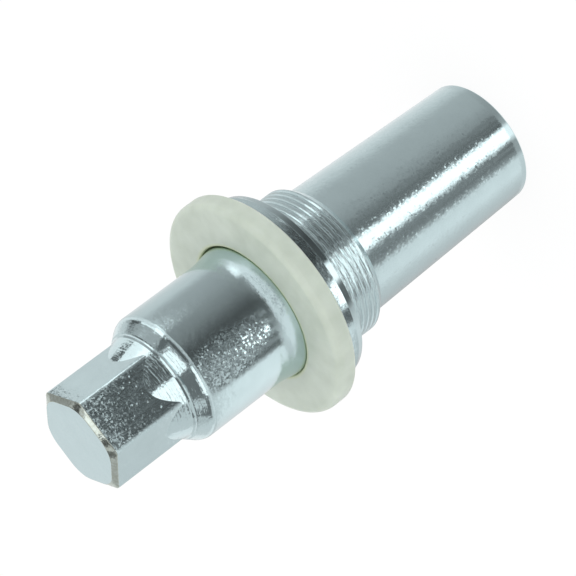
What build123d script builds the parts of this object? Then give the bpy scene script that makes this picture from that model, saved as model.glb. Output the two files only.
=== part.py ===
from build123d import *
import math
import os

# A hinge pin and its washer, in millimetres. The pin stands on the flat end of its barrel with its
# axis on Z and its hexagon drive end up. Two of the hexagon's flats face -Y and +Y.

# Barrel: a smooth shank that narrows a little towards its free end
barrel_length = 24.85
barrel_end_diameter = 15.0
barrel_root_diameter = 16.3
barrel_edge_chamfer = 0.2

# Collar: a stop at the barrel's root with a coned nose, fine grooves and a plain land at the flange
collar_length = 5.85
collar_diameter = 18.6
collar_nose_length = 0.8
collar_nose_drop = 0.6
collar_land = 1.35
groove_pitch = 0.73
groove_width = 0.4
groove_depth = 0.09

# Flange: the round plate that carries the washer, with its rim tapered towards the collar
flange_thickness = 2.6
flange_diameter = 23.8
flange_edge_chamfer = 0.3
flange_taper_length = 0.9
flange_taper_drop = 0.3

# Journal: the round bearing length above the washer, with a coned flare at its foot
journal_diameter = 15.6
journal_length = 13.2
flare_length = 2.2
flare_rise = 0.42

# Shoulder: the steep cone from the journal towards the hexagon, with one turned ring in it
shoulder_length = 1.75
shoulder_edge_radius = 1.4
shoulder_land = 0.1
ring_width = 0.3
ring_depth = 0.07
ring_place_share = 0.82

# Hexagon drive end, with a bevel up to a nearly round tip and a shallow cone where its flats run out
hex_across_flats = 11.0
hex_length = 10.3
hex_edge_radius = 0.7
hex_sides = 6
tip_length = 0.45
tip_inset = 0.5
tip_edge_radius = 3.2
runout_length = 2.9
runout_overrun_share = 0.15

# Washer: a loose nylon ring that rests on the flange, a little off centre in its clearance
# along a direction given in degrees from +X
washer_diameter = 27.0
washer_thickness = 2.6
washer_front_edge_radius = 0.9
washer_back_edge_chamfer = 0.35
washer_bore_chamfer = 0.15
washer_clearance = 0.1
washer_offset_share = 0.9
washer_offset_angle = 45

# Radii
barrel_end_radius = barrel_end_diameter / 2
barrel_root_radius = barrel_root_diameter / 2
collar_radius = collar_diameter / 2
flange_radius = flange_diameter / 2
journal_radius = journal_diameter / 2
seat_radius = journal_radius + flare_rise
hex_apothem = hex_across_flats / 2
hex_corner_radius = hex_apothem / math.cos(math.pi / hex_sides)
runout_foot_radius = hex_corner_radius + shoulder_land
washer_radius = washer_diameter / 2
washer_bore_radius = seat_radius + washer_clearance

# Heights above the barrel's end
collar_foot = barrel_length
collar_top = collar_foot + collar_length
flange_top = collar_top + flange_thickness
washer_top = flange_top + washer_thickness
flare_top = washer_top + flare_length
journal_top = washer_top + journal_length
runout_foot = journal_top + shoulder_length
hex_top = runout_foot + hex_length


def corner(sketch, radius, height):
    """The vertex of a section that lies nearest to a radius and a height."""
    place = Vector(radius, height)
    return min(sketch.vertices(), key=lambda vertex: (vertex.center() - place).length)


def groove_points():
    """Outline points of the collar's grooves, spaced evenly between its nose and its land."""
    grooved_foot = collar_foot + collar_nose_length
    grooved_length = collar_length - collar_nose_length - collar_land
    count = int(grooved_length / groove_pitch)
    margin = (grooved_length - count * groove_pitch) / 2
    points = []
    for index in range(count):
        middle = grooved_foot + margin + (index + 1 / 2) * groove_pitch
        points.append((collar_radius, middle - groove_width / 2))
        points.append((collar_radius - groove_depth, middle))
        points.append((collar_radius, middle + groove_width / 2))
    return points


def ring_points():
    """Outline points of the turned ring in the shoulder's cone, from the journal upwards."""
    start = Vector(journal_radius, journal_top)
    slope = Vector(runout_foot_radius, runout_foot) - start
    along = slope.normalized()
    inwards = Vector(-along.Y, along.X)
    middle = start + slope * ring_place_share
    return [
        middle - along * (ring_width / 2),
        middle + inwards * ring_depth,
        middle + along * (ring_width / 2),
    ]


def turned_section():
    """Half section of everything turned, from the barrel's end to inside the hexagon."""
    runout_slope = (runout_foot_radius - hex_apothem) / runout_length
    runout_height = runout_length * (1 + runout_overrun_share)
    runout_top = runout_foot + runout_height
    runout_top_radius = runout_foot_radius - runout_slope * runout_height

    outline = Polyline(
        (0, 0),
        (barrel_end_radius - barrel_edge_chamfer, 0),
        (barrel_end_radius, barrel_edge_chamfer),
        (barrel_root_radius, collar_foot),
        (collar_radius - collar_nose_drop, collar_foot),
        (collar_radius, collar_foot + collar_nose_length),
        *groove_points(),
        (collar_radius, collar_top),
        (flange_radius - flange_taper_drop, collar_top),
        (flange_radius, collar_top + flange_taper_length),
        (flange_radius, flange_top - flange_edge_chamfer),
        (flange_radius - flange_edge_chamfer, flange_top),
        (seat_radius, flange_top),
        (seat_radius, washer_top),
        (journal_radius, flare_top),
        (journal_radius, journal_top),
        *ring_points(),
        (runout_foot_radius, runout_foot),
        (runout_top_radius, runout_top),
        (0, runout_top),
        (0, 0),
    )
    section = make_face(outline)
    return fillet(corner(section, journal_radius, journal_top), shoulder_edge_radius)


def hexagon(apothem, edge_radius):
    """Hexagon outline with rounded corners and two of its sides facing -Y and +Y."""
    outline = RegularPolygon(apothem, hex_sides, major_radius=False)
    return fillet(outline.vertices(), edge_radius)


def hexagon_end():
    """Hexagon bar with eased corners and a bevelled tip. Its foot is buried in the shoulder."""
    outline = hexagon(hex_apothem, hex_edge_radius)
    tip_foot = hex_top - tip_length
    bar = extrude(Pos(0, 0, journal_top) * outline, tip_foot - journal_top)
    tip_face = hexagon(hex_apothem - tip_inset, tip_edge_radius)
    tip = loft([Pos(0, 0, tip_foot) * outline, Pos(0, 0, hex_top) * tip_face], ruled=True)
    return bar + tip


def pin():
    """The one-piece steel pin."""
    turned = revolve(Plane.XZ * turned_section(), Axis.Z)
    return turned + hexagon_end()


def washer():
    """The loose nylon ring, resting on the flange."""
    width = washer_radius - washer_bore_radius
    section = Pos(washer_bore_radius, 0) * Rectangle(width, washer_thickness, align=Align.MIN)
    section = fillet(corner(section, washer_radius, washer_thickness), washer_front_edge_radius)
    section = chamfer(corner(section, washer_radius, 0), washer_back_edge_chamfer)
    section = chamfer(corner(section, washer_bore_radius, washer_thickness), washer_bore_chamfer)
    section = chamfer(corner(section, washer_bore_radius, 0), washer_bore_chamfer)
    ring = revolve(Plane.XZ * section, Axis.Z)
    offset = washer_clearance * washer_offset_share
    turn = math.radians(washer_offset_angle)
    return Pos(offset * math.cos(turn), offset * math.sin(turn), flange_top) * ring


nodes = {"pin": pin(), "washer": washer()}

os.makedirs("parts", exist_ok=True)
for name, solid in nodes.items():
    export_step(solid, os.path.join("parts", name + ".step"))
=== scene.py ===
"""Looks of a zinc-plated hinge pin and its nylon washer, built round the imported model.

The pin stands on the flat end of its barrel, with its axis on Z and its hexagon drive end up. Two of the
hexagon's flats face -Y and +Y. Sizes are in millimetres until a mesh is made, and meshes are in metres.
Facing angles are measured round the axis from -Y, where the camera stands, towards -X.
"""

import logging
import math
from dataclasses import dataclass, field
from enum import Enum
from typing import Any

import bpy
from mathutils import Matrix, Vector

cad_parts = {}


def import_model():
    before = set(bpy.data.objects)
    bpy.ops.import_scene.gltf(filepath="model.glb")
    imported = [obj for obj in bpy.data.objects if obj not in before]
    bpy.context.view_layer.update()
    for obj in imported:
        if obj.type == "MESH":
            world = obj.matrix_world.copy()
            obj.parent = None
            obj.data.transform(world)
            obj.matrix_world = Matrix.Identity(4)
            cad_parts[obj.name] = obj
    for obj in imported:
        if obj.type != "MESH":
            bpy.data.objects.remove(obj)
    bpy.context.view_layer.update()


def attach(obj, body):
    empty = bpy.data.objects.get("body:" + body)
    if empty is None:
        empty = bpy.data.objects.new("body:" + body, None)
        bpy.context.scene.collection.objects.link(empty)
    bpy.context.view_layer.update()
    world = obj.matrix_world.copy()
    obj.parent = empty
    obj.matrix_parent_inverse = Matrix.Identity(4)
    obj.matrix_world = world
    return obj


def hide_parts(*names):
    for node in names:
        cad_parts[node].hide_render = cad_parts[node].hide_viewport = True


LOG = logging.getLogger("hinge_pin")

MM = 0.001
ROOT_BODY = "root"
SHARP_ANGLE_DEG = 9.0
MIDDLE_COLOUR = (0.5, 0.5, 0.5)

Point = tuple[float, float]
Tree = bpy.types.NodeTree
Socket = bpy.types.NodeSocket


class MaterialSlot(Enum):
    """The record's material slots."""

    ZINC = "zinc_plated_steel"
    NYLON = "nylon"


class Zone(Enum):
    """Stretches of the pin that were finished in different ways, with their material index."""

    BARREL = 0
    COLLAR = 1
    JOURNAL = 2
    CONES = 3
    HEXAGON = 4
    WORN_FLAT = 5
    WORN_TIP = 6
    FLANGE = 7


def linear(hex_colour: str) -> tuple[float, float, float, float]:
    """Turn an sRGB hex colour into linear red, green, blue and alpha.

    Args:
        hex_colour: Six hex digits after a hash sign.

    Returns:
        The colour as Blender's sockets take it.
    """
    channels = [int(hex_colour[start : start + 2], 16) / 255 for start in (1, 3, 5)]
    toe, toe_slope, offset, power = 0.04045, 12.92, 0.055, 2.4
    curved = [c / toe_slope if c <= toe else ((c + offset) / (1 + offset)) ** power for c in channels]
    return (curved[0], curved[1], curved[2], 1.0)


def facing(angle_deg: float) -> Vector:
    """Level direction at a facing angle."""
    angle = math.radians(angle_deg)
    return Vector((-math.sin(angle), -math.cos(angle), 0.0))


def add_node(
    tree: Tree, kind: str, sockets: dict[str, Any] | None = None, **settings: Any
) -> dict[str, Socket]:
    """Add one node to a tree, with its settings, its values and its links.

    Args:
        tree: Shader or geometry tree.
        kind: Blender's name for the node type.
        sockets: A value or an output socket for each input, by the input's identifier.
        **settings: Properties of the node itself.

    Returns:
        The node's output sockets, by identifier.
    """
    node = tree.nodes.new(kind)
    for name, value in settings.items():
        setattr(node, name, value)
    inputs = {socket.identifier: socket for socket in node.inputs}
    for identifier, value in (sockets or {}).items():
        if isinstance(value, Socket):
            tree.links.new(value, inputs[identifier])
        else:
            inputs[identifier].default_value = value
    return {socket.identifier: socket for socket in node.outputs}


def new_material(name: str) -> tuple[bpy.types.Material, Tree]:
    """Make an empty node material.

    Args:
        name: The material's name.

    Returns:
        The material and its node tree.
    """
    material = bpy.data.materials.new(name)
    material.use_nodes = True
    material.node_tree.nodes.clear()
    return material, material.node_tree


def place_in_mm(tree: Tree) -> Socket:
    """Add the object coordinates of a shading point to a material's tree.

    Args:
        tree: The material's tree.

    Returns:
        The coordinates in millimetres.
    """
    place = add_node(tree, "ShaderNodeTexCoord")["Object"]
    sockets = {"Vector": place, "Scale": 1 / MM}
    return add_node(tree, "ShaderNodeVectorMath", sockets, operation="SCALE")["Vector"]


def new_object(name: str, mesh: bpy.types.Mesh) -> bpy.types.Object:
    """Link a mesh into the scene as an object at the origin.

    Args:
        name: The object's name.
        mesh: Its mesh.

    Returns:
        The object.
    """
    thing = bpy.data.objects.new(name, mesh)
    bpy.context.scene.collection.objects.link(thing)
    return thing


def smooth_shading(mesh: bpy.types.Mesh) -> None:
    """Shade a mesh smooth, and keep the edges that are sharper than a small angle."""
    mesh.shade_smooth()
    mesh.set_sharp_from_angle(angle=math.radians(SHARP_ANGLE_DEG))


@dataclass(frozen=True)
class Corner:
    """One corner of a half section, in millimetres, and the radius of its rounding."""

    radius: float
    height: float
    rounding: float = 0.0


def rounded_outline(corners: list[Corner], steps: int) -> list[Point]:
    """Turn a half section's corners into points, with an arc at each rounded corner.

    Args:
        corners: The corners in order.
        steps: Number of chords in each arc.

    Returns:
        Points as radius and height.
    """
    points: list[Point] = []
    for index, corner in enumerate(corners):
        here = Vector((corner.radius, corner.height))
        if corner.rounding == 0 or index in (0, len(corners) - 1):
            points.append((here.x, here.y))
            continue
        back = Vector((corners[index - 1].radius, corners[index - 1].height)) - here
        ahead = Vector((corners[index + 1].radius, corners[index + 1].height)) - here
        half_angle = back.angle(ahead) / 2
        reach = corner.rounding / math.tan(half_angle)
        middle = (back.normalized() + ahead.normalized()).normalized()
        centre = here + middle * (corner.rounding / math.sin(half_angle))
        start = here + back.normalized() * reach - centre
        turn = start.angle_signed(here + ahead.normalized() * reach - centre)
        for step in range(steps + 1):
            spoke = start.copy()
            spoke.rotate(Matrix.Rotation(-turn * step / steps, 2))
            points.append((centre.x + spoke.x, centre.y + spoke.y))
    return points


def lathe_mesh(name: str, columns: list[list[Vector]], closed_section: bool) -> bpy.types.Mesh:
    """Join columns of points, one for each direction round the axis, into a closed mesh.

    Args:
        name: The mesh's name.
        columns: Points of the half section at each direction, in millimetres, all of one length.
        closed_section: True where the section is a ring's. Otherwise both its ends are capped.

    Returns:
        The mesh in metres, with its faces pointing outwards.
    """
    rows = len(columns[0])
    count = len(columns)
    vertices = [point * MM for column in columns for point in column]
    faces: list[tuple[int, ...]] = []
    for side in range(count):
        this, following = side * rows, (side + 1) % count * rows
        for row in range(rows if closed_section else rows - 1):
            above = (row + 1) % rows
            faces.append((this + row, following + row, following + above, this + above))
    if not closed_section:
        faces.append(tuple(side * rows for side in reversed(range(count))))
        faces.append(tuple(side * rows + rows - 1 for side in range(count)))
    mesh = bpy.data.meshes.new(name)
    mesh.from_pydata(vertices, [], faces)
    mesh.validate()
    smooth_shading(mesh)
    return mesh


@dataclass(frozen=True)
class Scuff:
    """A worn patch of plating: its place, how far it reaches, and how much more its grains tilt there."""

    facing_deg: float
    height_mm: float
    pin_radius_mm: float
    reach_mm: float
    long_share: float
    tilt: float
    even_share: float = 0.65

    def share(self, tree: Tree, place: Socket) -> Socket:
        """Build the share of wear at a shading point.

        Args:
            tree: The material's tree.
            place: Object coordinates in millimetres.

        Returns:
            The share, 1 in the patch's even middle and 0 at its edge.
        """
        shorten = Vector((1.0, 1.0, 1 / self.long_share))
        middle = facing(self.facing_deg) * self.pin_radius_mm + Vector((0.0, 0.0, self.height_mm))
        sockets = {"Vector": place, "Vector_001": shorten}
        shortened = add_node(tree, "ShaderNodeVectorMath", sockets, operation="MULTIPLY")["Vector"]
        sockets = {"Vector": shortened, "Vector_001": middle * shorten}
        away = add_node(tree, "ShaderNodeVectorMath", sockets, operation="DISTANCE")["Value"]
        sockets = {
            "Value": away,
            "From Min": self.reach_mm * self.even_share,
            "From Max": self.reach_mm,
            "To Min": 1.0,
            "To Max": 0.0,
        }
        return add_node(tree, "ShaderNodeMapRange", sockets, interpolation_type="SMOOTHSTEP")["Result"]


@dataclass(frozen=True)
class ZincPlate:
    """Blue-white zinc plating on turned steel.

    The plating is a thin bright metal of small flat grains, so mirror images in it are clear and have
    ragged edges, and single grains flash. Turning marks show through it as fine rings. Real grains and
    marks are too fine to show in a picture of the whole pin, so both are drawn coarser here.
    """

    name: str
    colour: str = "#CCE0E3"
    shade: str = "#C2D5D8"
    roughness: float = 0.14
    roughness_spread: float = 0.03
    cloud_mm: float = 2.6
    cloud_detail: float = 4.0
    grain_mm: float = 0.15
    grain_tilt: float = 0.05
    fleck_share: float = 0.0
    fleck_tilt: float = 0.0
    wave_mm: float = 0.7
    wave_height_mm: float = 0.03
    wave_detail: float = 2.0
    line_mm: float = 0.16
    line_height_mm: float = 0.0005
    line_waver_mm: float = 0.0
    line_detail: float = 2.0
    scratch_long_mm: float = 3.0
    scratch_wide_mm: float = 0.15
    scratch_turn_deg: float = 28.0
    scratch_height_mm: float = 0.0
    scratch_detail: float = 1.0
    scuff: Scuff | None = None

    def material(self) -> bpy.types.Material:
        """Build the node material.

        Returns:
            The finished material.
        """
        material, tree = new_material(self.name)
        place = place_in_mm(tree)
        sockets = {"Vector": place, "Scale": 1 / self.cloud_mm, "Detail": self.cloud_detail}
        cloud = add_node(tree, "ShaderNodeTexNoise", sockets)["Fac"]
        sockets = {"Factor_Float": cloud, "A_Color": linear(self.colour), "B_Color": linear(self.shade)}
        colour = add_node(tree, "ShaderNodeMix", sockets, data_type="RGBA")["Result_Color"]
        sockets = {
            "Value": cloud,
            "To Min": self.roughness - self.roughness_spread,
            "To Max": self.roughness + self.roughness_spread,
        }
        roughness = add_node(tree, "ShaderNodeMapRange", sockets)["Result"]
        sockets = {
            "Base Color": colour,
            "Metallic": 1.0,
            "Roughness": roughness,
            "Normal": self._surface(tree, place),
        }
        shader = add_node(tree, "ShaderNodeBsdfPrincipled", sockets)["BSDF"]
        add_node(tree, "ShaderNodeOutputMaterial", {"Surface": shader})
        return material

    def _surface(self, tree: Tree, place: Socket) -> Socket:
        """Build the grains, and over them the waves, turning lines and scratches.

        Args:
            tree: The material's tree.
            place: Object coordinates in millimetres.

        Returns:
            The surface normal.
        """
        sockets = {"Vector": place, "Scale": 1 / self.wave_mm, "Detail": self.wave_detail}
        wave = add_node(tree, "ShaderNodeTexNoise", sockets)["Fac"]
        lines = self._lines(tree, place, wave)
        reliefs = [(wave, self.wave_height_mm), (lines, self.line_height_mm)]
        if self.scratch_height_mm > 0:
            reliefs.append((self._scratches(tree, place), self.scratch_height_mm))
        normal = self._grains(tree, place)
        for pattern, height_mm in reliefs:
            sockets = {"Height": pattern, "Distance": height_mm * MM, "Normal": normal}
            normal = add_node(tree, "ShaderNodeBump", sockets)["Normal"]
        return normal

    def _lines(self, tree: Tree, place: Socket, wave: Socket) -> Socket:
        """Build the rings that turning leaves round the pin.

        Args:
            tree: The material's tree.
            place: Object coordinates in millimetres.
            wave: The waves' pattern, which the rings waver with.

        Returns:
            The lines' pattern.
        """
        along = add_node(tree, "ShaderNodeSeparateXYZ", {"Vector": place})["Z"]
        sockets = {"Value": wave, "Value_001": self.line_waver_mm, "Value_002": along}
        wavering = add_node(tree, "ShaderNodeMath", sockets, operation="MULTIPLY_ADD")["Value"]
        sockets = {"W": wavering, "Scale": 1 / self.line_mm, "Detail": self.line_detail}
        return add_node(tree, "ShaderNodeTexNoise", sockets, noise_dimensions="1D")["Fac"]

    def _scratches(self, tree: Tree, place: Socket) -> Socket:
        """Build long narrow scratches that lie at an angle to the axis.

        Args:
            tree: The material's tree.
            place: Object coordinates in millimetres.

        Returns:
            The scratches' pattern.
        """
        sockets = {
            "Vector": place,
            "Rotation": (0.0, math.radians(self.scratch_turn_deg), 0.0),
            "Scale": (1 / self.scratch_wide_mm, 1.0, 1 / self.scratch_long_mm),
        }
        turned = add_node(tree, "ShaderNodeMapping", sockets)["Vector"]
        sockets = {"Vector": turned, "Scale": 1.0, "Detail": self.scratch_detail}
        return add_node(tree, "ShaderNodeTexNoise", sockets)["Fac"]

    def _grains(self, tree: Tree, place: Socket) -> Socket:
        """Build the flat grains, each tilted its own way. Flecks and scuffed grains tilt more.

        Args:
            tree: The material's tree.
            place: Object coordinates in millimetres.

        Returns:
            The surface normal.
        """
        sockets = {"Vector": place, "Scale": 1 / self.grain_mm}
        grain = add_node(tree, "ShaderNodeTexVoronoi", sockets)["Color"]
        pick = add_node(tree, "ShaderNodeSeparateColor", {"Color": grain})["Red"]
        sockets = {"Value": pick, "Value_001": self.fleck_share}
        fleck = add_node(tree, "ShaderNodeMath", sockets, operation="LESS_THAN")["Value"]
        sockets = {"Value": fleck, "Value_001": self.fleck_tilt, "Value_002": self.grain_tilt}
        reach = add_node(tree, "ShaderNodeMath", sockets, operation="MULTIPLY_ADD")["Value"]
        if self.scuff is not None:
            worn = self.scuff.share(tree, place)
            sockets = {"Value": worn, "Value_001": self.scuff.tilt, "Value_002": reach}
            reach = add_node(tree, "ShaderNodeMath", sockets, operation="MULTIPLY_ADD")["Value"]
        sockets = {"Vector": grain, "Vector_001": MIDDLE_COLOUR}
        way = add_node(tree, "ShaderNodeVectorMath", sockets, operation="SUBTRACT")["Vector"]
        sockets = {"Vector": way, "Scale": reach}
        tilt = add_node(tree, "ShaderNodeVectorMath", sockets, operation="SCALE")["Vector"]
        outwards = add_node(tree, "ShaderNodeNewGeometry")["Normal"]
        sockets = {"Vector": outwards, "Vector_001": tilt}
        tilted = add_node(tree, "ShaderNodeVectorMath", sockets, operation="ADD")["Vector"]
        return add_node(tree, "ShaderNodeVectorMath", {"Vector": tilted}, operation="NORMALIZE")["Vector"]


@dataclass(frozen=True)
class NaturalNylon:
    """Natural nylon, moulded.

    It is off-white with a green cast, satin, and lets a little light in, so its edges look soft. A
    yellower ring
    round its hole is a painted glow: light through the nylon, painted into its colour. A few specks of
    dirt lie on it.
    """

    name: str = "natural_nylon"
    face: str = "#D8E2D7"
    shade: str = "#B7C2B4"
    # Painted glow: a yellower tint near the hole's edge that stands for light coming through the nylon
    painted_bore_glow: str = "#C9D2A8"
    painted_bore_glow_mm: float = 0.5
    speck: str = "#8B9486"
    speck_gap_mm: float = 3.2
    speck_mm: float = 0.16
    roughness: float = 0.42
    ior: float = 1.53
    inside_light: float = 0.4
    inside_reach_mm: float = 0.8
    inside_reach_rgb: tuple[float, float, float] = (1.0, 1.0, 0.8)
    cloud_mm: float = 2.5
    cloud_detail: float = 5.0
    grain_mm: float = 0.35
    grain_height_mm: float = 0.004
    grain_detail: float = 2.0

    def material(self, bore_radius: float, centre: Point) -> bpy.types.Material:
        """Build the node material.

        Args:
            bore_radius: Radius of the washer's hole in millimetres.
            centre: The hole's place on X and Y in millimetres.

        Returns:
            The finished material.
        """
        material, tree = new_material(self.name)
        place = place_in_mm(tree)
        sockets = {"Vector": place, "Scale": 1 / self.grain_mm, "Detail": self.grain_detail}
        grain = add_node(tree, "ShaderNodeTexNoise", sockets)["Fac"]
        sockets = {"Height": grain, "Distance": self.grain_height_mm * MM}
        normal = add_node(tree, "ShaderNodeBump", sockets)["Normal"]
        sockets = {
            "Base Color": self._colour(tree, place, bore_radius, centre),
            "Roughness": self.roughness,
            "IOR": self.ior,
            "Subsurface Weight": self.inside_light,
            "Subsurface Radius": self.inside_reach_rgb,
            "Subsurface Scale": self.inside_reach_mm * MM,
            "Normal": normal,
        }
        shader = add_node(tree, "ShaderNodeBsdfPrincipled", sockets)["BSDF"]
        add_node(tree, "ShaderNodeOutputMaterial", {"Surface": shader})
        return material

    def _colour(self, tree: Tree, place: Socket, bore_radius: float, centre: Point) -> Socket:
        """Build the nylon's colour, with its clouds, a painted glow round its hole and its specks.

        Args:
            tree: The material's tree.
            place: Object coordinates in millimetres.
            bore_radius: Radius of the washer's hole in millimetres.
            centre: The hole's place on X and Y in millimetres.

        Returns:
            The colour socket.
        """
        sockets = {"Vector": place, "Scale": 1 / self.cloud_mm, "Detail": self.cloud_detail}
        cloud = add_node(tree, "ShaderNodeTexNoise", sockets)["Fac"]
        # Painted glow round the hole: the yellower tint fades from the hole's edge to a short reach out
        # from it
        sockets = {
            "Vector": place,
            "Vector_001": (1.0, 1.0, 0.0),
            "Vector_002": (-centre[0], -centre[1], 0.0),
        }
        level = add_node(tree, "ShaderNodeVectorMath", sockets, operation="MULTIPLY_ADD")["Vector"]
        reach = add_node(tree, "ShaderNodeVectorMath", {"Vector": level}, operation="LENGTH")["Value"]
        sockets = {
            "Value": reach,
            "From Min": bore_radius,
            "From Max": bore_radius + self.painted_bore_glow_mm,
            "To Min": 1.0,
            "To Max": 0.0,
        }
        painted_glow_share = add_node(tree, "ShaderNodeMapRange", sockets)["Result"]
        sockets = {"Vector": place, "Scale": 1 / self.speck_gap_mm}
        away = add_node(tree, "ShaderNodeTexVoronoi", sockets)["Distance"]
        sockets = {"Value": away, "Value_001": self.speck_mm / self.speck_gap_mm}
        speck = add_node(tree, "ShaderNodeMath", sockets, operation="LESS_THAN")["Value"]
        colour: Any = linear(self.face)
        for share, tint in ((cloud, self.shade), (painted_glow_share, self.painted_bore_glow), (speck, self.speck)):
            sockets = {"Factor_Float": share, "A_Color": colour, "B_Color": linear(tint)}
            colour = add_node(tree, "ShaderNodeMix", sockets, data_type="RGBA")["Result_Color"]
        return colour


ZINC_FINISHES: dict[Zone, ZincPlate] = {
    Zone.BARREL: ZincPlate(
        "zinc_barrel",
        roughness=0.18,
        grain_mm=0.21,
        grain_tilt=0.042,
        fleck_share=0.1,
        fleck_tilt=0.09,
        wave_height_mm=0.022,
    ),
    Zone.COLLAR: ZincPlate(
        "zinc_collar", roughness=0.2, line_mm=0.2, line_height_mm=0.016, line_waver_mm=0.4
    ),
    Zone.JOURNAL: ZincPlate(
        "zinc_journal",
        grain_mm=0.19,
        grain_tilt=0.015,
        wave_height_mm=0.012,
        scuff=Scuff(
            facing_deg=14.0, height_mm=44.4, pin_radius_mm=7.8, reach_mm=3.15, long_share=2.05, tilt=0.16
        ),
    ),
    Zone.CONES: ZincPlate("zinc_cones", line_mm=0.2, line_height_mm=0.011, line_waver_mm=0.25),
    Zone.HEXAGON: ZincPlate("zinc_hexagon", scratch_height_mm=0.015),
    Zone.WORN_FLAT: ZincPlate(
        "zinc_worn_flat",
        grain_mm=0.18,
        grain_tilt=0.06,
        fleck_share=0.05,
        fleck_tilt=0.2,
        wave_height_mm=0.008,
        scratch_wide_mm=0.12,
        scratch_height_mm=0.03,
    ),
    Zone.WORN_TIP: ZincPlate(
        "zinc_worn_tip", colour="#D6E2E0", shade="#A2A796", roughness=0.16, cloud_mm=0.35, grain_tilt=0.06
    ),
    Zone.FLANGE: ZincPlate("zinc_flange", grain_tilt=0.03, wave_height_mm=0.02),
}


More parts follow.
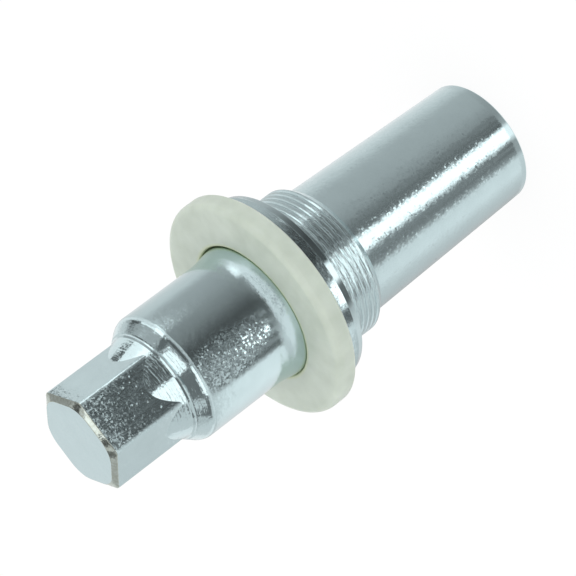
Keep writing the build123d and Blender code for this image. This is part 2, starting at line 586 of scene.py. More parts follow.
@dataclass
class Pin:
    """The one-piece steel pin: barrel, collar, flange, journal, shoulder and hexagon, in millimetres."""

    barrel_length: float = 24.85
    barrel_end_diameter: float = 15.0
    barrel_root_diameter: float = 16.3
    barrel_edge_chamfer: float = 0.2
    collar_length: float = 5.85
    collar_diameter: float = 18.6
    collar_nose_length: float = 0.8
    collar_nose_drop: float = 0.6
    collar_land: float = 1.35
    groove_pitch: float = 0.73
    groove_width: float = 0.4
    groove_depth: float = 0.09
    flange_thickness: float = 2.6
    flange_diameter: float = 23.8
    flange_edge_chamfer: float = 0.3
    flange_taper_length: float = 0.9
    flange_taper_drop: float = 0.3
    journal_diameter: float = 15.6
    journal_length: float = 13.2
    flare_length: float = 2.2
    flare_rise: float = 0.42
    flare_rounding: float = 10.0
    shoulder_length: float = 1.75
    shoulder_edge_radius: float = 1.4
    shoulder_land: float = 0.1
    ring_width: float = 0.3
    ring_depth: float = 0.07
    ring_place_share: float = 0.82
    hex_across_flats: float = 11.0
    hex_length: float = 10.3
    hex_edge_radius: float = 0.7
    hex_sides: int = 6
    tip_length: float = 0.45
    tip_inset: float = 0.5
    tip_edge_radius: float = 3.2
    worn_tip_length: float = 0.9
    runout_length: float = 2.9
    cone_lean_deg: float = 5.0
    washer_thickness: float = 2.6
    soft_edge: float = 0.12
    tip_soft_edge: float = 0.15
    arc_steps: int = 8
    flat_steps: int = 40
    edge_steps: int = 8
    part: bpy.types.Object = field(init=False, repr=False)

    def __post_init__(self) -> None:
        """Work out the radii and heights that several methods use."""
        self.seat_radius = self.journal_diameter / 2 + self.flare_rise
        self.hex_apothem = self.hex_across_flats / 2
        self.hex_half_turn = math.pi / self.hex_sides
        hex_corner_radius = self.hex_apothem / math.cos(self.hex_half_turn)
        self.runout_foot_radius = hex_corner_radius + self.shoulder_land
        self.collar_foot = self.barrel_length
        self.collar_top = self.collar_foot + self.collar_length
        self.flange_top = self.collar_top + self.flange_thickness
        self.washer_top = self.flange_top + self.washer_thickness
        self.flare_top = self.washer_top + self.flare_length
        self.journal_top = self.washer_top + self.journal_length
        self.runout_foot = self.journal_top + self.shoulder_length
        shoulder_drop = self.journal_diameter / 2 - self.runout_foot_radius
        shoulder_lean = math.atan2(shoulder_drop, self.shoulder_length)
        self.shoulder_foot = self.journal_top - self.shoulder_edge_radius * math.tan(shoulder_lean / 2)
        self.hex_top = self.runout_foot + self.hex_length
        grooved = self.collar_length - self.collar_nose_length - self.collar_land
        self.groove_count = int(grooved / self.groove_pitch)
        margin = (grooved - self.groove_count * self.groove_pitch) / 2
        self.first_groove = self.collar_foot + self.collar_nose_length + margin + self.groove_pitch / 2
        self.last_groove = self.first_groove + (self.groove_count - 1) * self.groove_pitch

    def build(self) -> bpy.types.Object:
        """Build the pin's mesh and dress it.

        Returns:
            The pin's object.
        """
        turned = self._turned_outline()
        columns = [self._column(turned, spoke) for spoke in self._hexagon_spokes()]
        mesh = lathe_mesh("pin_steel", columns, closed_section=False)
        for finish in ZINC_FINISHES.values():
            mesh.materials.append(finish.material())
        for face in mesh.polygons:
            face.material_index = self._zone(face.center.z / MM, face.normal).value
        self.part = new_object("hinge_pin", mesh)
        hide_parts("pin")
        return self.part

    def _zone(self, height: float, normal: Vector) -> Zone:
        """Choose the finish of a face.

        Args:
            height: Height of the face's middle in millimetres.
            normal: The way the face points.

        Returns:
            The zone that the face belongs to.
        """
        if height < self.collar_foot:
            return Zone.BARREL
        if height < self.collar_top:
            return Zone.COLLAR
        if height < self.flange_top:
            return Zone.FLANGE
        if height < self.shoulder_foot:
            return Zone.JOURNAL
        leans_back = normal.z > math.sin(math.radians(self.cone_lean_deg))
        level = normal.z > math.cos(math.radians(self.cone_lean_deg))
        if height > self.hex_top - self.worn_tip_length and leans_back and not level:
            return Zone.WORN_TIP
        if height < self.runout_foot + self.runout_length and leans_back:
            return Zone.CONES
        if normal.y < -math.cos(math.radians(self.cone_lean_deg)):
            return Zone.WORN_FLAT
        return Zone.HEXAGON

    def _turned_outline(self) -> list[Point]:
        """Half section of everything turned, from the barrel's end to the foot of the run-outs.

        Returns:
            Points as radius and height, in millimetres.
        """
        soft = self.soft_edge
        barrel_end = self.barrel_end_diameter / 2
        collar = self.collar_diameter / 2
        groove_foot = collar - self.groove_depth
        flange = self.flange_diameter / 2
        journal = self.journal_diameter / 2
        half_groove = self.groove_width / 2
        corners = [
            Corner(barrel_end - 2 * self.barrel_edge_chamfer, 0.0),
            Corner(barrel_end - self.barrel_edge_chamfer, 0.0, soft),
            Corner(barrel_end, self.barrel_edge_chamfer, soft),
            Corner(self.barrel_root_diameter / 2, self.collar_foot, soft),
            Corner(collar - self.collar_nose_drop, self.collar_foot, soft),
            Corner(collar, self.collar_foot + self.collar_nose_length, soft),
            Corner(collar, self.first_groove - half_groove),
            Corner(groove_foot, self.first_groove),
            Corner(groove_foot, self.last_groove),
            Corner(collar, self.last_groove + half_groove),
            Corner(collar, self.collar_top, soft),
            Corner(flange - self.flange_taper_drop, self.collar_top, soft),
            Corner(flange, self.collar_top + self.flange_taper_length, soft),
            Corner(flange, self.flange_top - self.flange_edge_chamfer, soft),
            Corner(flange - self.flange_edge_chamfer, self.flange_top, soft),
            Corner(self.seat_radius, self.flange_top),
            Corner(self.seat_radius, self.washer_top, soft),
            Corner(journal, self.flare_top, self.flare_rounding),
            Corner(journal, self.journal_top, self.shoulder_edge_radius),
            *self._ring_corners(journal),
            Corner(self.runout_foot_radius, self.runout_foot),
        ]
        return rounded_outline(corners, self.arc_steps)

    def _ring_corners(self, journal: float) -> list[Corner]:
        """Corners of the turned ring in the shoulder's cone.

        Args:
            journal: The journal's radius in millimetres.

        Returns:
            The corners from the journal upwards.
        """
        start = Vector((journal, self.journal_top))
        slope = Vector((self.runout_foot_radius, self.runout_foot)) - start
        along = slope.normalized()
        inwards = Vector((-along.y, along.x))
        middle = start + slope * self.ring_place_share
        places = (
            middle - along * (self.ring_width / 2),
            middle + inwards * self.ring_depth,
            middle + along * (self.ring_width / 2),
        )
        return [Corner(place.x, place.y) for place in places]

    def _hexagon_spokes(self) -> list[Vector]:
        """Points round the hexagon's section, with an arc at each corner.

        Returns:
            Points on X and Y in millimetres, anticlockwise.
        """
        spokes: list[Vector] = []
        turn = 2 * self.hex_half_turn
        arc_apothem = self.hex_apothem - self.hex_edge_radius
        half_flat = arc_apothem * math.tan(self.hex_half_turn)
        for side in range(self.hex_sides):
            way = side * turn - math.pi / 2
            outwards = Vector((math.cos(way), math.sin(way)))
            across = Vector((-outwards.y, outwards.x))
            for step in range(self.flat_steps):
                share = 2 * step / self.flat_steps - 1
                spokes.append(outwards * self.hex_apothem + across * (half_flat * share))
            arc_centre = outwards * arc_apothem + across * half_flat
            for step in range(self.edge_steps):
                angle = way + turn * step / self.edge_steps
                arc_spoke = Vector((math.cos(angle), math.sin(angle))) * self.hex_edge_radius
                spokes.append(arc_centre + arc_spoke)
        return spokes

    def _rounded_reach(self, aside: float, apothem: float, edge_radius: float) -> float:
        """Distance from the axis to the side of a hexagon with rounded corners.

        Args:
            aside: Angle from the middle of the nearest flat, in radians.
            apothem: Half of the hexagon's size across flats.
            edge_radius: Radius of its corners.

        Returns:
            The distance in millimetres.
        """
        arc_apothem = apothem - edge_radius
        if apothem * math.tan(aside) <= arc_apothem * math.tan(self.hex_half_turn):
            return apothem / math.cos(aside)
        centre = arc_apothem / math.cos(self.hex_half_turn)
        left = self.hex_half_turn - aside
        return centre * math.cos(left) + math.sqrt(edge_radius**2 - (centre * math.sin(left)) ** 2)

    def _column(self, turned: list[Point], spoke: Vector) -> list[Vector]:
        """All points of the pin's surface in one direction from its axis.

        Args:
            turned: The turned half section.
            spoke: The hexagon's surface point in that direction, on X and Y.

        Returns:
            Points from the barrel's end to the tip's face, in millimetres.
        """
        reach = spoke.length
        way = spoke.normalized()
        turn = 2 * self.hex_half_turn
        aside = abs((math.atan2(way.y, way.x) + math.pi / 2 + turn / 2) % turn - turn / 2)
        runout_slope = self.runout_length / (self.runout_foot_radius - self.hex_apothem)
        runout_top = self.runout_foot + (self.runout_foot_radius - reach) * runout_slope
        tip_face = self._rounded_reach(aside, self.hex_apothem - self.tip_inset, self.tip_edge_radius)
        corners = [
            Corner(*turned[-1]),
            Corner(reach, runout_top, self.soft_edge),
            Corner(reach, self.hex_top - self.tip_length, self.tip_soft_edge),
            Corner(tip_face, self.hex_top, self.tip_soft_edge),
            Corner(tip_face / 2, self.hex_top),
        ]
        outline = turned + rounded_outline(corners, self.arc_steps)[1:]
        return [Vector((way.x * radius, way.y * radius, height)) for radius, height in outline]


@dataclass
class CollarRidges:
    """Ridges that the turned grooves leave round the collar, repeated by Geometry Nodes."""

    pin: Pin
    sunk: float = 0.03
    wear_share: float = 0.003
    seed: int = 4
    ring_points: int = 240

    def build(self) -> bpy.types.Object:
        """Build the ridges and dress them.

        Returns:
            The ridges' object.
        """
        pin = self.pin
        ridges = new_object("collar_ridges", bpy.data.meshes.new("collar_ridges_seed"))
        tree, identifiers = self._tree()
        modifier = ridges.modifiers.new("ridges", "NODES")
        modifier.node_group = tree
        depth = pin.groove_depth + self.sunk
        foot_growth = pin.groove_width * self.sunk / pin.groove_depth
        sizes = {
            "Count": pin.groove_count - 1,
            "Pitch": pin.groove_pitch * MM,
            "First Height": (pin.first_groove + pin.groove_pitch / 2) * MM,
            "Middle Radius": (pin.collar_diameter / 2 - depth / 2) * MM,
            "Depth": depth * MM,
            "Crest": (pin.groove_pitch - pin.groove_width) * MM,
            "Foot": (pin.groove_pitch + foot_growth) * MM,
            "Wear": self.wear_share,
            "Seed": self.seed,
            "Material": pin.part.data.materials[Zone.COLLAR.value],
        }
        for name, value in sizes.items():
            modifier[identifiers[name]] = value
        graph = bpy.context.evaluated_depsgraph_get()
        mesh = bpy.data.meshes.new_from_object(ridges.evaluated_get(graph))
        ridges.modifiers.remove(modifier)
        mesh.name = "collar_ridges"
        smooth_shading(mesh)
        ridges.data = mesh
        return ridges

    def _tree(self) -> tuple[Tree, dict[str, str]]:
        """Build the node tree that repeats one ridge along the axis.

        Returns:
            The tree, and the identifier of each named input.
        """
        tree = bpy.data.node_groups.new("turned_ridges", "GeometryNodeTree")
        kinds = {"Count": "NodeSocketInt", "Seed": "NodeSocketInt", "Material": "NodeSocketMaterial"}
        for name in ("Pitch", "First Height", "Middle Radius", "Depth", "Crest", "Foot", "Wear"):
            kinds[name] = "NodeSocketFloat"
        identifiers = {
            name: tree.interface.new_socket(name, in_out="INPUT", socket_type=kind).identifier
            for name, kind in kinds.items()
        }
        result = tree.interface.new_socket("Geometry", in_out="OUTPUT", socket_type="NodeSocketGeometry")
        inputs = add_node(tree, "NodeGroupInput")
        given = {name: inputs[identifier] for name, identifier in identifiers.items()}
        start = add_node(tree, "ShaderNodeCombineXYZ", {"Z": given["First Height"]})["Vector"]
        step = add_node(tree, "ShaderNodeCombineXYZ", {"Z": given["Pitch"]})["Vector"]
        sockets = {"Count": given["Count"], "Start Location": start, "Offset": step}
        places = add_node(tree, "GeometryNodeMeshLine", sockets, mode="OFFSET")["Mesh"]
        sockets = {
            "Points": places,
            "Instance": self._ridge(tree, given),
            "Scale": self._wear(tree, given),
        }
        repeated = add_node(tree, "GeometryNodeInstanceOnPoints", sockets)["Instances"]
        whole = add_node(tree, "GeometryNodeRealizeInstances", {"Geometry": repeated})["Geometry"]
        sockets = {"Geometry": whole, "Material": given["Material"]}
        dressed = add_node(tree, "GeometryNodeSetMaterial", sockets)["Geometry"]
        add_node(tree, "NodeGroupOutput", {result.identifier: dressed})
        return tree, identifiers

    def _ridge(self, tree: Tree, given: dict[str, Socket]) -> Socket:
        """Build one ridge, a ring with a trapezium section that is wider at its foot.

        Args:
            tree: The geometry tree.
            given: The tree's named inputs.

        Returns:
            The ridge's mesh.
        """
        kind = "GeometryNodeCurvePrimitiveQuadrilateral"
        sockets = {
            "Bottom Width": given["Foot"],
            "Top Width": given["Crest"],
            "Offset": 0.0,
            "Height": given["Depth"],
        }
        section = add_node(tree, kind, sockets, mode="TRAPEZOID")["Curve"]
        quarter_turn = (0.0, 0.0, -math.pi / 2)
        sockets = {"Geometry": section, "Rotation": quarter_turn}
        turned = add_node(tree, "GeometryNodeTransform", sockets)["Geometry"]
        sockets = {"Resolution": self.ring_points, "Radius": given["Middle Radius"]}
        circle = add_node(tree, "GeometryNodeCurvePrimitiveCircle", sockets, mode="RADIUS")["Curve"]
        sockets = {"Curve": circle, "Profile Curve": turned}
        return add_node(tree, "GeometryNodeCurveToMesh", sockets)["Mesh"]

    @staticmethod
    def _wear(tree: Tree, given: dict[str, Socket]) -> Socket:
        """Build each ridge's scale, which makes worn ridges a little smaller across.

        Args:
            tree: The geometry tree.
            given: The tree's named inputs.

        Returns:
            The scale on all three axes.
        """
        sockets = {"Value": 1.0, "Value_001": given["Wear"]}
        least = add_node(tree, "ShaderNodeMath", sockets, operation="SUBTRACT")["Value"]
        sockets = {"Min_001": least, "Max_001": 1.0, "Seed": given["Seed"]}
        across = add_node(tree, "FunctionNodeRandomValue", sockets, data_type="FLOAT")["Value_001"]
        return add_node(tree, "ShaderNodeCombineXYZ", {"X": across, "Y": across, "Z": 1.0})["Vector"]


@dataclass
class Washer:
    """The loose nylon ring that rests on the flange, in millimetres."""

    pin: Pin
    diameter: float = 27.0
    front_edge_radius: float = 0.9
    back_edge_chamfer: float = 0.35
    bore_chamfer: float = 0.15
    clearance: float = 0.1
    offset_share: float = 0.9
    offset_angle_deg: float = 45.0
    soft_edge: float = 0.1
    directions: int = 192
    arc_steps: int = 10
    finish: NaturalNylon = NaturalNylon()

    def __post_init__(self) -> None:
        """Work out the radius of the hole."""
        self.bore_radius = self.pin.seat_radius + self.clearance

    def build(self) -> bpy.types.Object:
        """Build the washer's mesh and dress it.

        Returns:
            The washer's object.
        """
        offset = self.clearance * self.offset_share
        turn = math.radians(self.offset_angle_deg)
        centre = (offset * math.cos(turn), offset * math.sin(turn))
        outline = rounded_outline(self._corners(), self.arc_steps)[:-1]
        columns = []
        for step in range(self.directions):
            angle = 2 * math.pi * step / self.directions
            way = Vector((math.cos(angle), math.sin(angle)))
            columns.append([Vector((centre[0] + way.x * r, centre[1] + way.y * r, h)) for r, h in outline])
        mesh = lathe_mesh("washer_nylon", columns, closed_section=True)
        mesh.materials.append(self.finish.material(self.bore_radius, centre))
        part = new_object("nylon_washer", mesh)
        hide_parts("washer")
        return part

    def _corners(self) -> list[Corner]:
        """Corners of the ring's section.

        Returns:
            The corners from the middle of the hole's side, round the section and back to it.
        """
        bore = self.bore_radius
        rim = self.diameter / 2
        foot = self.pin.flange_top
        top = self.pin.washer_top
        soft = self.soft_edge
        return [
            Corner(bore, (foot + top) / 2),
            Corner(bore, foot + self.bore_chamfer, soft),
            Corner(bore + self.bore_chamfer, foot, soft),
            Corner(rim - self.back_edge_chamfer, foot, soft),
            Corner(rim, foot + self.back_edge_chamfer, soft),
            Corner(rim, top, self.front_edge_radius),
            Corner(bore + self.bore_chamfer, top, soft),
            Corner(bore, top - self.bore_chamfer, soft),
            Corner(bore, (foot + top) / 2),
        ]


@dataclass(frozen=True)
class FloorCard:
    """A level ring of card round the pin, laid out as one round stretch of the pin mirrors it.

    Where the pin faces an angle, it mirrors what lies at twice that angle, so the tones are pairs of the
    pin's facing angle and a brightness. Near and far are distances from the pin's surface, and lift is the
    card's height above the floor, in millimetres.
    """

    pin_radius: float
    near: float
    far: float
    lift: float
    tones: tuple[Point, ...]

    def tone(self, angle_deg: float) -> float:
        """Brightness at a facing angle, between the two nearest pairs.

        Args:
            angle_deg: The pin's facing angle.

        Returns:
            The brightness.
        """
        for (start, first), (end, second) in zip(self.tones, self.tones[1:]):
            if start <= angle_deg <= end:
                return first + (second - first) * (angle_deg - start) / (end - start)
        return self.tones[-1][1]


@dataclass(frozen=True)
class WallCard:
    """A patch of card on a dome round the pin, between two facing angles and two heights in degrees."""

    left: float
    right: float
    low: float
    high: float
    tone: float
    dome_radius: float = 150.0
    dome_height: float = 48.0

    def point(self, angle_deg: float, rise_deg: float) -> Vector:
        """Point of the card's dome.

        Args:
            angle_deg: Facing angle of the point.
            rise_deg: Its height in degrees.

        Returns:
            The point in millimetres.
        """
        rise = math.radians(rise_deg)
        level = facing(angle_deg) * (self.dome_radius * math.cos(rise))
        return level + Vector((0.0, 0.0, self.dome_height + self.dome_radius * math.sin(rise)))


@dataclass
class CardMesh:
    """Vertices, faces and brightness of several cards that become one mesh."""

    vertices: list[Vector] = field(default_factory=list)
    faces: list[tuple[int, int, int, int]] = field(default_factory=list)
    tones: list[float] = field(default_factory=list)

    def add_strip(self, first: list[Vector], second: list[Vector], tones: list[float]) -> None:
        """Add a strip between two rows of points.

        Args:
            first: Points of the one row, in millimetres.
            second: As many points of the other row.
            tones: Brightness at each point of a row.
        """
        start = len(self.vertices)
        count = len(first)
        self.vertices += [point * MM for point in first + second]
        self.tones += tones + tones
        for step in range(start, start + count - 1):
            self.faces.append((step, step + 1, step + 1 + count, step + count))

    def build(self, name: str, material: bpy.types.Material) -> None:
        """Make the cards' object, which only mirror rays see.

        Args:
            name: The object's name.
            material: The cards' material.
        """
        mesh = bpy.data.meshes.new(name)
        mesh.from_pydata(self.vertices, [], self.faces)
        mesh.attributes.new("tone", "FLOAT", "POINT").data.foreach_set("value", self.tones)
        mesh.materials.append(material)
        thing = new_object(name, mesh)
        thing.visible_camera = False
        thing.visible_diffuse = False
        thing.visible_shadow = False
        thing.visible_transmission = False
        thing.visible_volume_scatter = False


BARREL_CARD = FloorCard(
    pin_radius=7.8,
    near=0.0,
    far=46.0,
    lift=0.1,
    tones=(
        (-90.0, 1.0), (-64.0, 0.85), (-54.0, 0.7), (-47.0, 0.56), (-25.0, 0.5), (-12.0, 0.36),
        (-9.5, 0.22), (-7.5, 0.3), (-5.0, 0.16), (-3.0, 0.24), (-0.5, 0.13), (1.5, 0.17),
        (4.0, 1.9), (13.0, 1.9), (17.5, 0.34), (19.5, 0.16), (22.0, 0.36), (24.5, 0.16),
        (27.0, 0.3), (29.5, 0.3), (34.0, 0.94), (47.0, 1.0), (54.0, 0.84), (61.0, 0.73), (90.0, 0.5),
    ),
)
EDGE_CARD = FloorCard(
    pin_radius=7.5,
    near=0.0,
    far=1.1,
    lift=0.12,
    tones=(
        (-90.0, 1.0), (-50.0, 0.7), (-44.0, 0.54), (-10.0, 0.38), (0.0, 0.5), (4.0, 1.3),
        (12.0, 1.3), (18.0, 0.45), (28.0, 0.5), (33.0, 0.85), (90.0, 0.7),
    ),
)
COLLAR_CARD = FloorCard(
    pin_radius=9.3,
    near=43.0,
    far=55.0,
    lift=0.2,
    tones=(
        (-90.0, 0.7), (-40.0, 0.45), (-36.0, 0.5), (-33.0, 1.3), (-29.0, 1.2), (-26.0, 0.35),
        (-13.0, 0.18), (-4.0, 0.22), (3.0, 1.0), (12.0, 1.4), (17.0, 1.1), (21.0, 0.4),
        (31.0, 0.35), (40.0, 0.5), (90.0, 0.6),
    ),
)
FLANGE_CARD = FloorCard(
    pin_radius=11.9,
    near=53.0,
    far=66.0,
    lift=0.3,
    tones=(
        (-90.0, 0.7), (-43.0, 0.6), (-33.0, 0.35), (-26.0, 0.12), (-20.0, 0.03), (6.0, 0.03),
        (11.0, 0.3), (15.0, 2.6), (26.0, 2.4), (29.0, 0.12), (37.0, 0.12), (40.0, 1.0),
        (50.0, 0.7), (90.0, 0.6),
    ),
)
TAPER_CARD = FloorCard(
    pin_radius=11.75,
    near=0.4,
    far=1.8,
    lift=28.9,
    tones=(
        (-90.0, 0.7), (-50.0, 0.55), (-38.0, 0.35), (-28.0, 0.16), (-15.0, 0.08), (1.5, 0.1),
        (4.0, 1.6), (13.0, 1.6), (17.0, 0.2), (28.0, 0.15), (34.0, 0.6), (48.0, 0.9), (90.0, 0.65),
    ),
)
JOURNAL_CARD = FloorCard(
    pin_radius=7.8,
    near=70.0,
    far=112.0,
    lift=0.4,
    tones=(
        (-90.0, 0.9), (-58.0, 0.75), (-50.0, 0.5), (-33.0, 0.38), (-20.0, 0.28), (-12.0, 0.16),
        (-6.0, 0.1), (1.0, 0.12), (5.0, 0.42), (9.0, 0.08), (13.0, 0.58), (17.0, 0.08),
        (21.0, 0.55), (25.0, 0.08), (29.0, 0.42), (32.0, 0.1), (35.0, 0.2), (38.0, 1.1),
        (58.0, 1.1), (90.0, 0.7),
    ),
)
SHOULDER_CARD = FloorCard(
    pin_radius=5.5,
    near=112.0,
    far=122.0,
    lift=0.45,
    tones=(
        (-90.0, 0.85), (-58.0, 0.78), (-50.0, 0.55), (-33.0, 0.38), (-14.0, 0.25), (-5.0, 0.1),
        (5.0, 0.1), (14.0, 0.3), (30.0, 0.8), (90.0, 0.72),
    ),
)
HEXAGON_CARD = FloorCard(
    pin_radius=5.5,
    near=122.0,
    far=185.0,
    lift=0.5,
    tones=(
        (-90.0, 0.8), (-44.0, 0.85), (-37.0, 1.7), (-31.0, 1.5), (-27.0, 0.35), (-14.0, 0.3),
        (-5.0, 0.1), (0.0, 0.08), (5.0, 0.1), (14.0, 0.3), (30.0, 0.8), (90.0, 0.72),
    ),
)
FLOOR_CARDS = (
    BARREL_CARD,
    EDGE_CARD,
    COLLAR_CARD,
    FLANGE_CARD,
    TAPER_CARD,
    JOURNAL_CARD,
    SHOULDER_CARD,
    HEXAGON_CARD,
)
WALL_CARDS: tuple[WallCard, ...] = (
    # Mirrored in the run-outs of the hexagon's flats
    WallCard(-52.0, 8.0, 8.0, 30.0, 0.12),
    WallCard(8.0, 62.0, 7.0, 30.0, 1.6),
    WallCard(62.0, 104.0, 8.0, 30.0, 0.2),
    WallCard(-72.0, -52.0, -8.0, 26.0, 1.6),
    WallCard(-130.0, -72.0, 3.0, 29.0, 0.5),
    WallCard(-91.0, -66.0, -4.5, 8.0, 1.3, dome_radius=30.0, dome_height=53.0),
    WallCard(-113.0, -91.0, -4.5, 8.0, 0.12, dome_radius=30.0, dome_height=53.0),
    # Mirrored in the shoulder
    WallCard(-44.0, 10.0, 31.0, 43.0, 0.3),
    WallCard(-44.0, 10.0, 43.0, 56.0, 1.6),
    WallCard(-44.0, 10.0, 56.0, 72.0, 0.3),
    WallCard(10.0, 72.0, 31.0, 62.0, 0.2),
    WallCard(-60.0, -44.0, 30.0, 62.0, 0.15),
    WallCard(-95.0, -60.0, 30.0, 62.0, 0.5),
    # Mirrored in the flare
    WallCard(-52.0, 30.0, -9.0, 3.0, 0.45),
    WallCard(60.0, 120.0, -9.0, 3.0, 0.78),
    # Mirrored in the hexagon's end face and in the bevels round it
    WallCard(150.0, 210.0, 12.0, 40.0, 0.89),
    WallCard(108.0, 145.0, 18.0, 42.0, 0.6),
    WallCard(128.0, 165.0, 42.0, 72.0, 0.2),
    WallCard(-145.0, -108.0, 18.0, 42.0, 0.45),
    WallCard(-165.0, -128.0, 42.0, 72.0, 0.12),
    WallCard(-30.0, 7.0, 42.0, 62.0, 1.6, dome_radius=14.0, dome_height=61.0),
    WallCard(7.0, 45.0, 42.0, 62.0, 0.12, dome_radius=14.0, dome_height=61.0),
)


@dataclass
class Studio:
    """Floor, soft light and the cards that the bright metal mirrors."""

    floor_size_mm: float = 4000.0
    floor_colour: str = "#F7F8F8"
    floor_glow_share: float = 0.85
    floor_glow: float = 1.03
    world_light: float = 1.2
    key_power: float = 0.13
    key_size_mm: float = 250.0
    key_place_mm: tuple[float, float, float] = (60.0, -60.0, 400.0)
    card_step_deg: float = 1.5
    floor_cards: tuple[FloorCard, ...] = FLOOR_CARDS
    wall_cards: tuple[WallCard, ...] = WALL_CARDS

    def build(self) -> None:
        """Build the floor, the cards, the world and the lamp."""
        self._floor()
        material = self._card_material()
        floor_mesh = CardMesh()
        for card in self.floor_cards:
            self._floor_card(card, floor_mesh)
        floor_mesh.build("floor_cards", material)
        wall_mesh = CardMesh()
        for card in self.wall_cards:
            self._wall_card(card, wall_mesh)
        wall_mesh.build("wall_cards", material)
        self._world()
        self._key_lamp()

    def _floor(self) -> None:
        """Build the pale floor, which glows so that it stays white round the pin's soft shadow."""
        half = self.floor_size_mm / 2 * MM
        mesh = bpy.data.meshes.new("floor")
        corners = [(-half, -half, 0.0), (half, -half, 0.0), (half, half, 0.0), (-half, half, 0.0)]
        mesh.from_pydata(corners, [], [(0, 1, 2, 3)])
        material, tree = new_material("floor_paper")
        matt = add_node(tree, "ShaderNodeBsdfDiffuse", {"Color": linear(self.floor_colour)})["BSDF"]
        glow = add_node(tree, "ShaderNodeEmission", {"Strength": self.floor_glow})["Emission"]
        sockets = {"Value": self._seen(tree), "Value_001": self.floor_glow_share}
        share = add_node(tree, "ShaderNodeMath", sockets, operation="MULTIPLY")["Value"]
        sockets = {"Fac": share, "Shader": matt, "Shader_001": glow}
        surface = add_node(tree, "ShaderNodeMixShader", sockets)["Shader"]
        add_node(tree, "ShaderNodeOutputMaterial", {"Surface": surface})
        mesh.materials.append(material)
        new_object("floor", mesh)

    @staticmethod
    def _seen(tree: Tree) -> Socket:
        """Build a switch between the rays that show in the picture and the rays that only light it.

        Args:
            tree: A material's or the world's tree.

        Returns:
            1 for rays from the camera and from mirrors, and 0 for the rest.
        """
        path = add_node(tree, "ShaderNodeLightPath")
        sockets = {"Value": path["Is Camera Ray"], "Value_001": path["Is Glossy Ray"]}
        return add_node(tree, "ShaderNodeMath", sockets, operation="MAXIMUM")["Value"]

    @staticmethod
    def _card_material() -> bpy.types.Material:
        """Make the glowing material of the cards, which reads each card's own tones.

        Returns:
            The finished material.
        """
        material, tree = new_material("reflector_card")
        tone = add_node(tree, "ShaderNodeAttribute", attribute_name="tone")["Fac"]
        glow = add_node(tree, "ShaderNodeEmission", {"Strength": tone})["Emission"]
        add_node(tree, "ShaderNodeOutputMaterial", {"Surface": glow})
        return material

    def _steps(self, start: float, end: float) -> list[float]:
        """Angles in even steps from a start to an end, in degrees."""
        count = max(1, math.ceil((end - start) / self.card_step_deg))
        return [start + (end - start) * step / count for step in range(count + 1)]

    def _floor_card(self, card: FloorCard, mesh: CardMesh) -> None:
        """Add one level ring of card to a mesh.

        Args:
            card: The card.
            mesh: The mesh that takes it.
        """
        angles = self._steps(card.tones[0][0], card.tones[-1][0])
        lift = Vector((0.0, 0.0, card.lift))
        rows = [
            [facing(angle) * card.pin_radius + facing(2 * angle) * reach + lift for angle in angles]
            for reach in (card.near, card.far)
        ]
        mesh.add_strip(rows[0], rows[1], [card.tone(angle) for angle in angles])

    def _wall_card(self, card: WallCard, mesh: CardMesh) -> None:
        """Add one patch of a dome to a mesh.

        Args:
            card: The card.
            mesh: The mesh that takes it.
        """
        across = self._steps(card.left, card.right)
        upwards = self._steps(card.low, card.high)
        rows = [[card.point(angle, rise) for angle in across] for rise in upwards]
        for lower, upper in zip(rows, rows[1:]):
            mesh.add_strip(lower, upper, [card.tone] * len(across))

    def _world(self) -> None:
        """Light the pin evenly from all round. Mirror rays and the camera see plain white."""
        world = bpy.data.worlds.new("studio")
        world.use_nodes = True
        tree = world.node_tree
        tree.nodes.clear()
        sockets = {"Value": self._seen(tree), "To Min": self.world_light, "To Max": 1.0}
        strength = add_node(tree, "ShaderNodeMapRange", sockets)["Result"]
        sky = add_node(tree, "ShaderNodeBackground", {"Strength": strength})["Background"]
        add_node(tree, "ShaderNodeOutputWorld", {"Surface": sky})
        bpy.context.scene.world = world

    def _key_lamp(self) -> None:
        """Add one large soft lamp high over the pin, for the nylon and the floor."""
        lamp = bpy.data.lights.new("key", "AREA")
        lamp.size = self.key_size_mm * MM
        lamp.energy = self.key_power
        thing = bpy.data.objects.new("key", lamp)
        thing.location = Vector(self.key_place_mm) * MM
        thing.rotation_euler = (-thing.location).to_track_quat("-Z", "Y").to_euler()
        thing.visible_glossy = False
        bpy.context.scene.collection.objects.link(thing)


@dataclass(frozen=True)
class PhotoCamera:
    """The photograph's camera, turned on its side so that the standing pin shows as the lying one does."""

    elevation_deg: float = 27.0262
    roll_deg: float = -127.0789
    distance_mm: float = 324.8
    aim_height_mm: float = 35.58
    aim_pixel: Point = (254.4, 310.7)
    frame_pixels: float = 576.0
    focal_pixels: float = 3000.0
    sensor_mm: float = 36.0
    clip_start_mm: float = 1.0

    def build(self) -> None:
        """Create the camera and make it the scene's."""
        elevation = math.radians(self.elevation_deg)
        roll = math.radians(self.roll_deg)
        level = Vector((1.0, 0.0, 0.0))
        upright = Vector((0.0, math.sin(elevation), math.cos(elevation)))
        right = level * math.cos(roll) + upright * math.sin(roll)
        up = upright * math.cos(roll) - level * math.sin(roll)
        back = right.cross(up)
        aside = (self.aim_pixel[0] - self.frame_pixels / 2) / self.focal_pixels * self.distance_mm
        below = (self.aim_pixel[1] - self.frame_pixels / 2) / self.focal_pixels * self.distance_mm
        aim = Vector((0.0, 0.0, self.aim_height_mm))
        place = aim - right * aside + up * below + back * self.distance_mm
        turn = Matrix((right, up, back)).transposed().to_4x4()
        camera = bpy.data.cameras.new("photo_camera")
        camera.sensor_width = self.sensor_mm
        camera.lens = self.focal_pixels / self.frame_pixels * self.sensor_mm
        camera.clip_start = self.clip_start_mm * MM
        thing = bpy.data.objects.new("photo_camera", camera)
        thing.matrix_world = Matrix.Translation(place * MM) @ turn
        bpy.context.scene.collection.objects.link(thing)
        bpy.context.scene.camera = thing


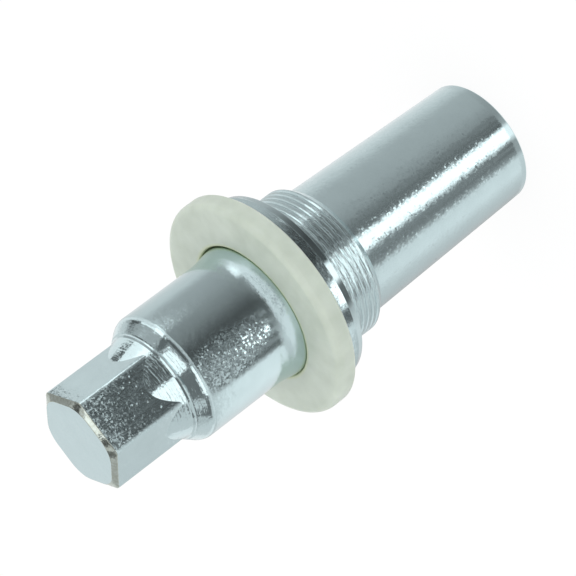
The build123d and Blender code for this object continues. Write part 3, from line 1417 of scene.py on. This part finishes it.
def main() -> None:
    """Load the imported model, dress it, and set the studio and the camera."""
    logging.basicConfig(level=logging.INFO, format="%(name)s: %(message)s")
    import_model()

    pin = Pin()
    parts = [pin.build(), CollarRidges(pin=pin).build(), Washer(pin=pin).build()]
    for part in parts:
        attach(part, ROOT_BODY)
        LOG.info("%s: %d faces", part.name, len(part.data.polygons))

    Studio().build()
    PhotoCamera().build()
    bpy.context.scene.view_settings.view_transform = "Standard"


if __name__ == "__main__":
    main()
